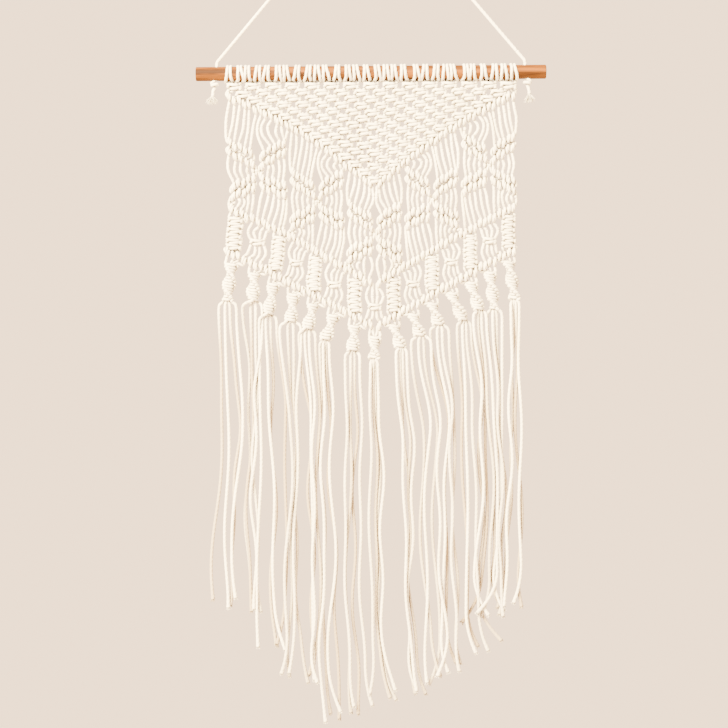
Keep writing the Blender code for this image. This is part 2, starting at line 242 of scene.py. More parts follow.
def half_knot(
    front, back, node, middle, top, height, side, angle, width, depth=HALF_KNOT_D, radius=TIGHT_R,
):
    """One half knot round what hangs in the middle. The front strand comes from the given side and crosses
    in front to the other side, where it tucks behind the back strand; the back strand does so behind."""
    # Each point's place across the knot, its distance to the front and its share of the way down
    shape = (
        (-1.0, 0.05, 0.0), (-0.82, 0.35, 0.2), (-0.42, 0.98, 0.37), (0.0, 1.08, 0.5), (0.42, 0.78, 0.56),
        (0.64, -0.05, 0.42), (0.88, -0.72, 0.52), (1.0, -0.2, 0.93),
    )
    cos, sin = math.cos(angle), math.sin(angle)
    for strand, turn in ((front, 1), (back, -1)):
        path = []
        for across, out, down in shape:
            u, v = -side * turn * across * width, -turn * out * depth
            path.append((middle[0] + u * cos - v * sin, middle[1] + u * sin + v * cos, top - down * height))
        strand.go(node, path, radius)


def square_knot(group, node, x, top, height, width=HALF_KNOT_W, tilt=0.0, radius=TIGHT_R):
    """A square knot of four strands: two half knots that mirror each other, round two fillers."""
    a, b, c, d = group
    half = height / 2
    for filler, place in ((b, -FILLER), (c, FILLER)):
        filler.go(node, [(x + place, 0.0, top), (x + place + tilt, 0.0, top - height)], TIGHT_R)
    half_knot(a, d, node, (x, 0.0), top, half, -1, 0.0, width, radius=radius)
    half_knot(a, d, node, (x + tilt, 0.0), top - half, half, 1, 0.0, width, radius=radius)


def hitch_row(node, start, end, height_at, place=lane_x):
    """A row of double half hitches. The strand in the start lane is laid along the row as the holding cord,
    and each strand up to the end lane loops over it twice and moves one lane towards the start."""
    way = 1 if end > start else -1
    holder = at(start)
    held = order[start]
    first = place(start)
    turned = first + way * 1.2
    holder.go(node, [(first, 0.6, height_at(first) + 2.6), (turned, 0.0, height_at(turned))])
    for lane in range(start + way, end + way, way):
        x = (place(lane) + place(lane - way)) / 2
        rise = (height_at(x + 1.0) - height_at(x - 1.0)) / 2
        aside, up = HITCH_STRAY
        zigzag = HITCH_ZIGZAG * (1 if lane % 2 else -1) + jitter(up)
        hitch(at(lane), node, x + jitter(aside), height_at(x) + zigzag, way, rise)
        holder.go(node, [(x, 0.0, height_at(x))], TIGHT_R)
        order[lane - way] = order[lane]
    order[end] = held
    last = place(end)
    holder.go(node, [(last, 0.4, height_at(last) - 0.8), (last + way * 0.3, 0.8, height_at(last) - 5.0)])


def hitch(strand, node, x, z, way, rise):
    """Two half hitches over a holding cord at x, z. The first loop sits a little higher than the second."""
    length = math.hypot(1.0, rise)
    reach = LANE * length * random.uniform(*HITCH_REACH)
    steep = random.uniform(*HITCH_STEEP) * rise / length
    step = HITCH_STEP[0] + jitter(HITCH_STEP[1])
    # Each point's place along the row, its distance behind the panel's plane and its height over the row
    loops = (
        (-0.7, 2.2, 4.8), (-1.0, 3.0, 1.4), (-1.1, 2.6, -1.8), (-1.15, 0.2, -3.9 + step),
        (-1.15, -2.4, -2.9 + step), (-1.0, -3.3, 0.2 + step), (-0.85, -2.3, 3.1 + step),
        (-0.6, 0.3, 3.9 + step), (-0.2, 3.0, 1.6), (0.4, 3.3, -1.2), (0.75, 0.6, -3.9 - step),
        (0.9, -2.4, -2.9 - step), (1.05, -3.3, 0.2 - step), (1.15, -2.3, 2.9 - step),
        (0.95, 0.4, 3.7 - step), (0.4, 3.2, 1.5), (0.1, 3.4, -1.4), (0.0, 1.8, -4.4), (0.0, 0.6, -6.2),
    )
    path = []
    for along, y, up in loops:
        a = along * reach
        right = way * a / length - HITCH_H * up * (rise / length - steep)
        path.append((x + right, y, z + way * a * rise / length + HITCH_H * up / length))
    strand.go(node, path, HITCH_R + jitter(HITCH_R_VARIES))


def bow(lane, node, end_x, end_z, amount):
    """A loose stretch of the strand in a lane, from where it is to its next knot, bowed sideways."""
    strand = at(lane)
    x, _, z = strand.points[-1]
    for share, part in ((0.3, 0.8), (0.62, 0.9)):
        straight = x + (end_x - x) * share
        strand.go(node, [(straight + amount * part + jitter(0.35), jitter(1.0), z + (end_z - z) * share)])


# The panel

def net_rows(x):
    """The number of rows of square knots over a place, and the height of one."""
    count = COLUMNS - 2 * abs(x) / COLUMN
    room = AXIS_Z - NET_TOP - (line_z("upper_chevron", x) + NET_FOOT)
    return count, room / count


def row_top(row, x):
    return AXIS_Z - NET_TOP - row * net_rows(x)[1]


def square_knot_net():
    for row in range(COLUMNS):
        for knot in range(COLUMNS - row):
            lane = 2 * row + PER_COLUMN * knot
            x = (lane_x(lane) + lane_x(lane + 3)) / 2
            node = "square_knot_net" if row else f"larks_heads_{knot + 1:02d}"
            top = row_top(row, x) + jitter(0.3)
            height = min(net_rows(x)[1], NET_KNOT_MOST) * NET_FILL
            group = group_at(lane)
            place, width, tilt = x + jitter(0.4), HALF_KNOT_W + jitter(0.5), jitter(0.9)
            square_knot(group, node, place, top, height, width, tilt, NET_KNOT_R)


def chevron(name):
    """Two rows of hitches, from the panel's edges to its middle, where their holding cords meet."""
    half = STRANDS // 2
    hitch_row(name, 0, half - 1, partial(line_z, name))
    hitch_row(name, STRANDS - 1, half, partial(line_z, name))


CROSS_LANES = 12
MIDDLE_CROSS = 2
CROSS_HALF = CROSS_LANES * LANE / 2
CROSS_DROPS = (97.0, 128.0, 161.0, 127.0, 93.0)
# An arm's two rows: the rise at the cross's side and at its middle, above the cross's centre, and how far
# from the centre the row's inner end stays
UPPER_ROWS = ((31.0, 14.0, 3.4), (20.5, 3.5, 1.8))
LOWER_ROWS = ((-17.0, -5.5, 1.8), (-27.0, -14.5, 2.4))
# Sideways bows of the loose strands above, beside and below a cross's middle. They are those of a cross on
# the left, from the panel's outer side inwards
BOWS = {
    "above": (0.0, 0.8, 0.4, 0.9, 0.9, -0.9, -4.8, -5.6, -4.6, -2.1, -0.6, 0.0),
    "beside": (-1.8, -1.6, -1.2, -0.5, 0.0, 0.0, 0.0, 0.0, 0.5, 1.1, 1.3, 0.8),
    "below": (1.0, 2.2, 2.4, 1.8, 0.8, 0.0, -0.5, 0.4, 0.9, 1.2, 1.2, 0.6),
}
# The middle cross is symmetrical, and these are the bows of its left half
MIDDLE_BOWS = {
    "above": (0.0, 0.8, 1.0, 1.8, 2.4, 2.4),
    "beside": (-1.8, -1.6, -1.2, -0.5, 0.0, 0.0),
    "below": (-0.8, -2.0, -3.2, -3.0, -1.0, 3.0),
}
BOW_END = 6.0  # how far above its next row a bow ends


def arm_height(centre, outer, inner):
    """The height of an arm's row over X."""
    x0, z0 = centre
    return lambda x: z0 + inner + (outer - inner) * min(abs(x - x0) / CROSS_HALF, 1.0)


def spread(x0, gap):
    """Where a lane stands if the innermost one keeps a gap to the middle of its cross."""
    def place(lane):
        away = abs(lane_x(lane) - x0)
        share = (away - LANE / 2) / (CROSS_HALF - LANE / 2)
        return x0 + math.copysign(gap + share * (CROSS_HALF - gap), lane_x(lane) - x0)
    return place


def mirrored(amounts):
    return tuple(-amount for amount in reversed(amounts))


def bows_of(number, part):
    """The bows over a cross's lanes, from left to right. The right crosses mirror the left ones."""
    if number == MIDDLE_CROSS:
        return MIDDLE_BOWS[part] + mirrored(MIDDLE_BOWS[part])
    return mirrored(BOWS[part]) if number > MIDDLE_CROSS else BOWS[part]


def cross_bows(number, node, part, place, inwards, height_at):
    """Bows for a cross's strands, to where the next row's place and height say that their hitches are."""
    for i, amount in enumerate(bows_of(number, part)):
        lane = number * CROSS_LANES + i
        way = 1 if inwards(lane) else -1
        x = (place(lane) + place(lane - way)) / 2
        bow(lane, node, x, height_at(x) + BOW_END, amount)


def cross(number):
    """A cross of double rows: the upper arms run in to the middle, and the lower arms out from it."""
    node = f"cross_{number + 1}"
    first = number * CROSS_LANES
    last = first + CROSS_LANES - 1
    inner = first + CROSS_LANES // 2
    x0 = (lane_x(first) + lane_x(last)) / 2
    centre = (x0, AXIS_Z - CROSS_DROPS[number])
    rows = [arm_height(centre, outer, middle) for outer, middle, _ in UPPER_ROWS + LOWER_ROWS]
    gaps = [spread(x0, gap) for _, _, gap in UPPER_ROWS + LOWER_ROWS]
    cross_bows(number, node, "above", gaps[0], lambda lane: lane < inner, rows[0])
    for row, gap in zip(rows[:2], gaps[:2]):
        hitch_row(node, first, inner - 1, row, gap)
        hitch_row(node, last, inner, row, gap)
    cross_bows(number, node, "beside", gaps[2], lambda lane: lane >= inner, rows[2])
    for row, gap in zip(rows[2:], gaps[2:]):
        hitch_row(node, inner - 1, first, row, gap)
        hitch_row(node, inner, last, row, gap)
    chevron_z = partial(line_z, "middle_chevron")
    cross_bows(number, node, "below", lane_x, lambda lane: lane < STRANDS // 2, chevron_z)


# The columns between the middle and the lower chevron

UNDER_CHEVRON, OVER_CHEVRON = 6.0, 5.0  # how far a column keeps off the two chevrons' lines
SINNET_KNOT_H, SINNET_W, SINNET_R = 5.0, 6.0, 1.55
SINNET_SWAY = 0.5
GATHERS = (-8.4, -2.8, 2.8, 8.4)  # how far each gathered strand bows out
GATHER_H, GATHER_W = 6.2, 5.7
LOWER_GATHERS = 0.95  # the bows under the gathering knot, against those above it


def column_span(column):
    """A column's place, its top and its foot."""
    x = column_x(column)
    return x, line_z("middle_chevron", x) - UNDER_CHEVRON, line_z("lower_chevron", x) + OVER_CHEVRON


def square_sinnet(number, column):
    """A column of square knots, one under the other."""
    node = f"square_sinnet_{number}"
    x, top, low = column_span(column)
    count = round((top - low) / SINNET_KNOT_H)
    height = (top - low) / count
    group = group_at(column * PER_COLUMN)
    for knot in range(count):
        place = x + SINNET_SWAY * math.sin(knot * 1.7 + column)
        width = SINNET_W + jitter(0.3)
        square_knot(group, node, place, top - knot * height, height, width, radius=SINNET_R)


def gathered_strands(number, column):
    """Four loose strands that bow out and are drawn together by one square knot."""
    node = f"gathered_strands_{number}"
    x, top, low = column_span(column)
    middle = (top + low) / 2 + jitter(1.0)
    group = group_at(column * PER_COLUMN)
    for strand, out in zip(group, GATHERS):
        strand.go(node, [(x + out + jitter(0.5), jitter(1.0), (top + middle) / 2 + 3.0)])
    square_knot(group, node, x, middle + GATHER_H / 2, GATHER_H, GATHER_W)
    for strand, out in zip(group, GATHERS):
        strand.go(node, [(x + out * LOWER_GATHERS + jitter(0.6), jitter(1.0), (low + middle) / 2 - 3.0)])


def lower_columns():
    for column in range(COLUMNS):
        build = gathered_strands if column % 2 else square_sinnet
        build(column // 2 + 1, column)


# The tassels

# One value for each tassel, from left to right
SPIRALS = (45, 35, 36, 34, 30, 30, 31, 29, 29, 27, 29, 33, 33, 43, 45)  # the length of its spiral
ENDS = (532, 538, 575, 606, 607, 645, 640, 625, 620, 609, 596, 578, 547, 541, 536)  # the drop it reaches
# how far to the right the spiral's low end leans
LEANS = (-3.6, -1.1, -6.1, -3.4, -6.7, -9.6, -2.4, -1.1, 7.5, 8.1, 7.4, 12.7, 9.0, 4.2, 5.3)
# how far out the outer strands go before they turn down
SHOULDERS = (8.5, 9.0, 8.5, 10.5, 8.0, 4.5, 7.0, 3.6, 5.5, 10.0, 9.5, 7.0, 6.5, 7.5, 4.2)
# how far to the right the strands hang a little under the spiral, and how much more by their ends
DRIFTS = (4.5, 0.5, 4.0, 3.0, 6.5, 1.0, -1.5, 0.0, 5.0, 9.0, 10.0, 7.0, 9.0, 4.5, 0.0)
HANGS = (-5.0, -3.0, -3.0, -2.5, -3.0, 0.0, -1.5, -1.0, 0.0, -1.0, -3.0, -2.5, -4.0, -3.0, -3.5)
# how far apart the strands settle, and how far their tips bend sideways
SPREADS = (9.5, 2.2, 9.0, 2.5, 3.2, 5.0, 7.0, 5.0, 5.0, 7.5, 3.2, 8.5, 4.5, 3.0, 4.0)
CURLS = (5, 6, 10, 8, 10, 8, 10, 12, 16, 10, 14, 22, 24, 18, 9)

# One value for each strand of a tassel
STRAND_ENDS = (-4.0, 2.0, 0.0, -6.0)  # how much further down it ends, from left to right
LAYERS = (-4.4, 1.5, -1.5, 4.4)  # how far it hangs behind the panel's plane, in any order

HALF_KNOT_H = 3.1
SPIRAL_TURN = math.radians(28)
SPIRAL_W, SPIRAL_DEPTH, SPIRAL_R = 5.4, 2.3, 1.68
SPIRAL_CORE, SPIRAL_CORE_R = 0.9, 1.3  # the two strands inside the spiral
SPIRAL_TOP = 2.0  # how far under its hinge a spiral starts
SPIRAL_SPARE = 5.0  # the part of a spiral's length that holds no half knot
FALL = 9.0  # how far under a spiral its strands turn down
SPREAD_GAIN = 1.15  # a factor on all of SPREADS
SETTLE = 90.0  # the drop over which the strands settle to where they hang
HANG_STEP = 12.0  # about how far apart the points of a hanging strand are
# Painted shade of the fringe strands: darker for a strand that hangs behind the panel's plane, lighter for
# one in front
BACK_PAINTED_SHADES, FRONT_PAINTED_SHADES = (0.0, 0.5), (0.65, 1.0)
TIP_FLARE = 1.3  # a cut end opens a little
CURL_RUN = 42.0  # the last stretch of a strand, which still bends as it was cut and coiled


def spiral(column):
    """A flat band of half knots that turns about its two fillers, leaning as the real one does."""
    node = f"tassel_{column + 1:02d}"
    x, _, z = hinge(node + "_swing")
    top = z - SPIRAL_TOP
    count = int((SPIRALS[column] - SPIRAL_SPARE) / HALF_KNOT_H)
    group = group_at(column * PER_COLUMN)
    left, right = group[0], group[3]
    start = jitter(0.4)

    def middle(step):
        return x + LEANS[column] * ease(step, -2.0, count + 2.0)

    for knot in range(count):
        angle = start + knot * SPIRAL_TURN
        place, height = (middle(knot), 0.0), top - knot * HALF_KNOT_H
        width = SPIRAL_W + jitter(0.2)
        half_knot(left, right, node, place, height, HALF_KNOT_H, -1, angle, width, SPIRAL_DEPTH, SPIRAL_R)
        left, right = right, left
    for i, filler in enumerate(group[1:3]):
        for step in range(count + 1):
            angle = start + step * SPIRAL_TURN + math.pi * i
            across, back = SPIRAL_CORE * math.cos(angle), SPIRAL_CORE * math.sin(angle)
            filler.go(node, [(middle(step) - across, -back, top - step * HALF_KNOT_H)], SPIRAL_CORE_R)
    return x + LEANS[column], top - count * HALF_KNOT_H, group


def fringe(column):
    """The four loose strands under a spiral, which go out over its end, then down in slow waves."""
    x, low, group = spiral(column)
    by_side = sorted(group, key=lambda strand: strand.points[-1][0])
    layers = list(LAYERS)
    random.shuffle(layers)
    together = (random.uniform(0, 2 * math.pi), random.uniform(170, 300), random.uniform(0.8, 2.0))
    for i, strand in enumerate(by_side):
        node = f"fringe_{column + 1:02d}_{i + 1}"
        strand.shade_from = low
        # a strand that hangs behind is painted darker, as shade
        strand.shade = random.uniform(*(BACK_PAINTED_SHADES if layers[i] > 0 else FRONT_PAINTED_SHADES))
        share = (i - 1.5) / 1.5  # from -1 at the left to 1 at the right
        shoulder = x + share * SHOULDERS[column] * (1.0 if abs(share) > 0.5 else 0.8)
        end = AXIS_Z - ENDS[column] - STRAND_ENDS[i] + jitter(3.0)
        first = strand.points[-1]
        strand.go(node, [
            (x + (shoulder - x) * 0.55, first[1] * 0.8, low - 1.2),
            (x + (shoulder - x) * 0.9, first[1] * 0.6 + layers[i] * 0.2, low - 4.0),
            (shoulder, first[1] * 0.3 + layers[i] * 0.5, low - FALL),
        ])
        settled = DRIFTS[column] + (share + jitter(0.25)) * SPREADS[column] * SPREAD_GAIN
        drift = HANGS[column] + jitter(11.0)
        places = (shoulder - x, settled, drift)
        hang_down(strand, node, x, places, (low - FALL, end), layers[i], together, CURLS[column])


def hang_down(strand, node, x, places, heights, layer, together, most_curl):
    """A loose strand from its shoulder to its tip. It goes over to where it settles, drifts on from there
    and bends at its tip. It sways by itself and, in a longer wave, with its whole tassel."""
    shoulder, settled, drift = places
    top, end = heights
    length = top - end
    phase, wave, sway = random.uniform(0, 2 * math.pi), random.uniform(80, 180), random.uniform(0.6, 2.6)
    second, second_wave, second_sway = together
    curl = random.choice((-1.0, 1.0, 1.0)) * most_curl * random.uniform(0.15, 1.0)
    count = max(6, round(length / HANG_STEP))
    for step in range(1, count + 1):
        share = step / count
        z = top - length * share
        settling = ease(top - z, 0.0, SETTLE)
        tip = max(0.0, 1.0 - (z - end) / CURL_RUN)
        sideway = (1.0 - settling) * shoulder + settling * (settled + drift * share * share)
        own_wave = sway * math.sin(phase + 2 * math.pi * z / wave)
        shared_wave = second_sway * math.sin(second + 2 * math.pi * z / second_wave)
        px = x + sideway + settling * (own_wave + shared_wave) + curl * tip * tip
        py = layer * (0.5 + 0.5 * settling) + 0.7 * math.sin(second + 2 * math.pi * z / wave)
        strand.go(node, [(px, py, z)], CORD_R * (1.0 if step < count else TIP_FLARE))


# The hanging cord

HOLE_X = 154.0  # from the dowel's middle to each hole
HOOK_BEND = 15.0  # the inside of the fold over the hook
MOUTH_BEND = 5.0  # the middle of the bend out of a hole
STOP_KNOT = (
    (0.0, 0.0, 3.6), (0.6, -1.6, 2.2), (2.6, -1.8, 0.9), (2.5, 1.4, 0.2), (-0.2, 2.6, -0.1),
    (-2.7, 1.2, -0.4), (-2.4, -1.8, -0.6), (0.2, -3.0, -0.9), (2.4, -1.6, -1.4), (1.6, 1.0, -1.7),
    (0.2, 0.4, -3.6),
)
KNOT_DROP = 3.0  # from the dowel's underside to a stop knot's middle
KNOT_ASIDE = 2.4  # how far outside its hole a stop knot sits
HANGING_R = 1.75
TAIL_END = 22.0  # how far a tail reaches under the dowel's axis before it frays


def arc(centre, radius, start, end, count):
    angles = np.linspace(start, end, count + 1)
    return [(centre[0] + radius * math.cos(a), 0.0, centre[1] + radius * math.sin(a)) for a in angles]


def hanging_cord():
    """One cord: from a stop knot up through its hole, over the hook, and down to the other stop knot."""
    strand = Strand()
    bend = HOOK_BEND + HANGING_R
    fold = hinge("hanger_fold")[2]
    hook, mouth = (0.0, -HOOK_BEND), (HOLE_X - MOUTH_BEND, fold)
    across, up = hook[0] - mouth[0], hook[1] - mouth[1]
    out = math.atan2(up, across) - math.asin((MOUTH_BEND - bend) / math.hypot(across, up)) - math.pi / 2
    low, over = arc(mouth, MOUTH_BEND, 0.0, out, 3), arc(hook, bend, out, math.pi / 2, 6)
    run = np.linspace(low[-1], over[0], 22)[1:-1]
    under, tail_end = dowel_low[2] - KNOT_DROP, AXIS_Z - TAIL_END
    tail = [(HOLE_X + 4.4, 0.6, tail_end), (HOLE_X + 3.8, 0.3, (under + AXIS_Z - TAIL_END) / 2 - 1.0)]
    knot = [(HOLE_X + KNOT_ASIDE + dx, dy, under + dz) for dx, dy, dz in reversed(STOP_KNOT)]
    inside = [(HOLE_X, 0.0, AXIS_Z - 4.0), (HOLE_X, 0.0, AXIS_Z + 4.0)]
    stretches = (
        ("stop_knot", tail + knot + inside), ("mouth", low),
        ("hanging_cord", [tuple(p) for p in run] + over),
    )
    for name, points in stretches:
        strand.go(name if name == "hanging_cord" else name + "_right", points, HANGING_R)
    for name, points in reversed(stretches):
        left_side = [(-px, py, pz) for px, py, pz in reversed(points)]
        strand.go(name if name == "hanging_cord" else name + "_left", left_side, HANGING_R)
    return strand


# Meshes

def smooth_curve(points, radii):
    """A centripetal curve through the points, sampled about every ring's length. Returns places, radii and
    where each point falls."""
    p = np.array(points, float)
    gaps = np.linalg.norm(np.diff(p, axis=0), axis=1)
    keep = np.concatenate([[True], gaps > SAME_PLACE])
    index = np.cumsum(keep) - 1
    p, r = p[keep], np.array(radii, float)[keep]
    gaps = np.linalg.norm(np.diff(p, axis=0), axis=1)
    t = np.concatenate([[0.0], np.cumsum(np.sqrt(gaps))])
    slope = np.diff(p, axis=0) / np.diff(t)[:, None]
    tangent = np.zeros_like(p)
    before, after = np.diff(t)[:-1, None], np.diff(t)[1:, None]
    tangent[1:-1] = (slope[:-1] * after + slope[1:] * before) / (before + after)
    tangent[0], tangent[-1] = slope[0], slope[-1]
    places, thick, marks = [], [], [0]
    for i, gap in enumerate(gaps):
        count = max(1, math.ceil(gap / RING))
        s = (np.arange(count) / count)[:, None]
        h = t[i + 1] - t[i]
        places.append(
            (2 * s**3 - 3 * s**2 + 1) * p[i] + (s**3 - 2 * s**2 + s) * h * tangent[i]
            + (3 * s**2 - 2 * s**3) * p[i + 1] + (s**3 - s**2) * h * tangent[i + 1]
        )
        thick.append(r[i] + (r[i + 1] - r[i]) * s[:, 0])
        marks.append(marks[-1] + count)
    places = np.vstack(places + [p[-1:]])
    thick = np.concatenate(thick + [r[-1:]])
    return places, thick, np.array(marks)[index]


def frames_along(places):
    """Two directions across the curve at each place, carried along it without turning about it."""
    tangent = np.gradient(places, axis=0)
    tangent /= np.linalg.norm(tangent, axis=1)[:, None]
    side = np.zeros_like(places)
    start = np.cross(tangent[0], (0.31, 0.92, 0.24))
    side[0] = start / np.linalg.norm(start)
    for i in range(1, len(places)):
        s = side[i - 1] - tangent[i] * side[i - 1].dot(tangent[i])
        side[i] = s / math.sqrt(s.dot(s))
    return side, np.cross(tangent, side)


FIBRE_SIDES = 4
FIBRE_END = 0.55  # a fibre's radius at its end, as a share of its own


class Surface:
    """Rope surfaces gathered for one mesh object."""

    def __init__(self):
        self.vertices, self.faces, self.caps, self.corner_uv, self.tints_and_shades = [], [], [], [], []
        self.count = 0

    def add_tube(self, centres, radii, side, other, along, tint_and_shade, sides=SIDES, plies=PLY_DEPTH):
        rings = len(centres)
        turn = 2 * math.pi * np.arange(sides) / sides
        phase = turn[None, :] + (2 * math.pi * along / LAY)[:, None]
        lobes = 1.0 - plies + plies * np.cos(PLIES * turn)[None, :]
        reach = radii[:, None] * lobes
        ring = (
            centres[:, None, :]
            + (reach * np.cos(phase))[:, :, None] * side[:, None, :]
            + (reach * np.sin(phase))[:, :, None] * other[:, None, :]
        )
        first = self.count
        self.vertices.append(ring.reshape(-1, 3))
        i, j = np.meshgrid(np.arange(rings - 1), np.arange(sides), indexing="ij")
        k = (j + 1) % sides
        near, far = i * sides, (i + 1) * sides
        quads = np.stack([near + j, near + k, far + k, far + j], -1).reshape(-1, 4)
        self.faces.append(quads + first)
        v0, v1 = j / sides, (j + 1) / sides
        u0, u1 = along[i] / LAY, along[i + 1] / LAY
        corners = ((u0, v0), (u0, v1), (u1, v1), (u1, v0))
        uv = np.stack([np.stack(corner, -1) for corner in corners], 2)
        self.corner_uv.append(uv.reshape(-1, 2))
        self.tints_and_shades.append(np.repeat(tint_and_shade, sides))
        self.count += rings * sides
        for at_end in (0, rings - 1):
            self.close(first + at_end * sides, centres[at_end], sides, at_end > 0, tint_and_shade[at_end])

    def close(self, start, centre, sides, outward, tint_and_shade):
        """A fan of triangles over a tube's end."""
        self.vertices.append(np.array([centre]))
        self.tints_and_shades.append(np.array([tint_and_shade]))
        j = np.arange(sides)
        a, b = start + j, start + (j + 1) % sides
        fan = [a, b] if outward else [b, a]
        self.caps.append(np.stack(fan + [np.full(sides, self.count)], -1))
        self.count += 1

    def add_fibre(self, points, radius, tint_and_shade):
        """A loose fibre, thinner towards its end."""
        places = np.array(points, float)
        side, other = frames_along(places)
        radii = radius * np.linspace(1.0, FIBRE_END, len(places))
        along = np.linspace(0.0, 1.0, len(places))
        self.add_tube(places, radii, side, other, along, np.full(len(places), tint_and_shade), FIBRE_SIDES, 0.0)

    def build(self, name, material):
        vertices = np.concatenate(self.vertices) * MM
        quads = np.concatenate(self.faces)
        caps = np.concatenate(self.caps)
        mesh = bpy.data.meshes.new(name)
        mesh.vertices.add(len(vertices))
        mesh.vertices.foreach_set("co", vertices.astype(np.float32).ravel())
        loops = np.concatenate([quads.ravel(), caps.ravel()])
        mesh.loops.add(len(loops))
        mesh.loops.foreach_set("vertex_index", loops.astype(np.int32))
        sizes = np.concatenate([np.full(len(quads), 4), np.full(len(caps), 3)])
        mesh.polygons.add(len(sizes))
        starts = np.concatenate([[0], np.cumsum(sizes)[:-1]])
        mesh.polygons.foreach_set("loop_start", starts.astype(np.int32))
        mesh.update(calc_edges=True)
        uv = mesh.uv_layers.new(name="lay")
        corners = np.concatenate([np.concatenate(self.corner_uv), np.zeros((caps.size, 2))])
        uv.data.foreach_set("uv", corners.astype(np.float32).ravel())
        tint_and_shade = mesh.attributes.new("tint_and_shade", "FLOAT", "POINT")
        tint_and_shade.data.foreach_set("value", np.concatenate(self.tints_and_shades).astype(np.float32))
        mesh.shade_smooth()
        mesh.materials.append(material)
        obj = bpy.data.objects.new(name, mesh)
        bpy.context.scene.collection.objects.link(obj)
        return obj


# Materials

def new_material(name):
    """A material with its node tree and its shader."""
    material = bpy.data.materials.new(name)
    material.use_nodes = True
    return material, material.node_tree, material.node_tree.nodes["Principled BSDF"]


def add(tree, kind, **values):
    node = tree.nodes.new(kind)
    for key, value in values.items():
        if key in node.inputs:
            node.inputs[key].default_value = value
        else:
            setattr(node, key, value)
    return node


def multiply(tree, one, other):
    node = add(tree, "ShaderNodeMix", data_type="RGBA", blend_type="MULTIPLY")
    node.inputs["Factor"].default_value = 1.0
    tree.links.new(one, node.inputs[6])
    tree.links.new(other, node.inputs[7])
    return node.outputs[2]


def noise(tree, vector, stretch=None, **values):
    """A noise over a vector, which may be stretched first."""
    if stretch:
        mapping = add(tree, "ShaderNodeMapping")
        mapping.inputs["Scale"].default_value = stretch
        tree.links.new(vector, mapping.inputs["Vector"])
        vector = mapping.outputs["Vector"]
    node = add(tree, "ShaderNodeTexNoise", **values)
    tree.links.new(vector, node.inputs["Vector"])
    return node.outputs["Fac"]


def ramp(tree, value, low, high):
    """A colour between two stops, each a position and a colour."""
    node = add(tree, "ShaderNodeValToRGB")
    for element, (position, colour) in zip(node.color_ramp.elements, (low, high)):
        element.position = position
        element.color = colour + (1.0,)
    tree.links.new(value, node.inputs["Fac"])
    return node.outputs["Color"]


def bump(tree, shader, height, **values):
    node = add(tree, "ShaderNodeBump", **values)
    tree.links.new(height, node.inputs["Height"])
    tree.links.new(node.outputs["Normal"], shader.inputs["Normal"])


WHITE = (1.0, 1.0, 1.0)
COTTON_SHADED, COTTON_LIT = (0.74, 0.67, 0.55), (0.90, 0.85, 0.77)
# the tint's dark end: a greyer strand, and the painted shade of the fringe's back strands
GREY_AND_SHADED_STRAND = (0.40, 0.33, 0.26)
# painted shade: the colour that the cotton is darkened to in crevices, where other cord is near
CREVICE_PAINTED_SHADE = (0.11, 0.08, 0.05)
PAINTED_SHADE_REACH = 0.0035  # metres; how near another surface has to be for painted shade to darken a crevice
WOOD_DARK, WOOD_LIGHT = (0.028, 0.0075, 0.0006), (0.15, 0.048, 0.0028)


def cotton_material(name):
    """Cotton with fine fibres along the lay, soft patches, each strand's own tint, which on the fringe's
    back strands is painted shade, and painted shade darkening its crevices.
    """
    material, tree, shader = new_material(name)
    shader.inputs["Roughness"].default_value = 0.95
    shader.inputs["Sheen Weight"].default_value = 0.25
    shader.inputs["Sheen Roughness"].default_value = 0.5
    shader.inputs["Specular IOR Level"].default_value = 0.2
    lay = add(tree, "ShaderNodeUVMap", uv_map="lay").outputs["UV"]
    fibres = noise(tree, lay, (6.0, 40.0, 1.0), Scale=1.0, Detail=3.0, Roughness=0.6)
    patches = noise(tree, add(tree, "ShaderNodeTexCoord").outputs["Object"], Scale=28.0, Detail=2.0)
    mix = add(tree, "ShaderNodeMix", data_type="FLOAT")
    mix.inputs["Factor"].default_value = 0.35
    tree.links.new(fibres, mix.inputs["A"])
    tree.links.new(patches, mix.inputs["B"])
    tone = ramp(tree, mix.outputs["Result"], (0.3, COTTON_SHADED), (0.62, COTTON_LIT))
    # the tint: each strand's own tone, and on the fringe its painted shade
    tint_and_shade = add(tree, "ShaderNodeAttribute", attribute_name="tint_and_shade").outputs["Fac"]
    toned_and_shaded = multiply(tree, tone, ramp(tree, tint_and_shade, (0.0, GREY_AND_SHADED_STRAND), (1.0, WHITE)))
    # painted shade: the cotton gets darker where another surface is near, from ambient occlusion
    openness = add(tree, "ShaderNodeAmbientOcclusion", Distance=PAINTED_SHADE_REACH, samples=6).outputs["AO"]
    shaded = multiply(tree, toned_and_shaded, ramp(tree, openness, (0.15, CREVICE_PAINTED_SHADE), (0.76, WHITE)))
    tree.links.new(shaded, shader.inputs["Base Color"])
    bump(tree, shader, fibres, Strength=0.35, Distance=0.0003)
    return material


def wood_material():
    """Oiled pine, with its grain along the dowel."""
    material, tree, shader = new_material("oiled_pine")
    shader.inputs["Roughness"].default_value = 0.62
    shader.inputs["Specular IOR Level"].default_value = 0.12
    place = add(tree, "ShaderNodeTexCoord").outputs["Object"]
    grain = noise(tree, place, (9.0, 150.0, 150.0), Scale=1.0, Detail=5.0, Roughness=0.65)
    tone = ramp(tree, grain, (0.38, WOOD_DARK), (0.62, WOOD_LIGHT))
    tree.links.new(tone, shader.inputs["Base Color"])
    bump(tree, shader, grain, Strength=0.25, Distance=0.0004)
    return material


# Pieces

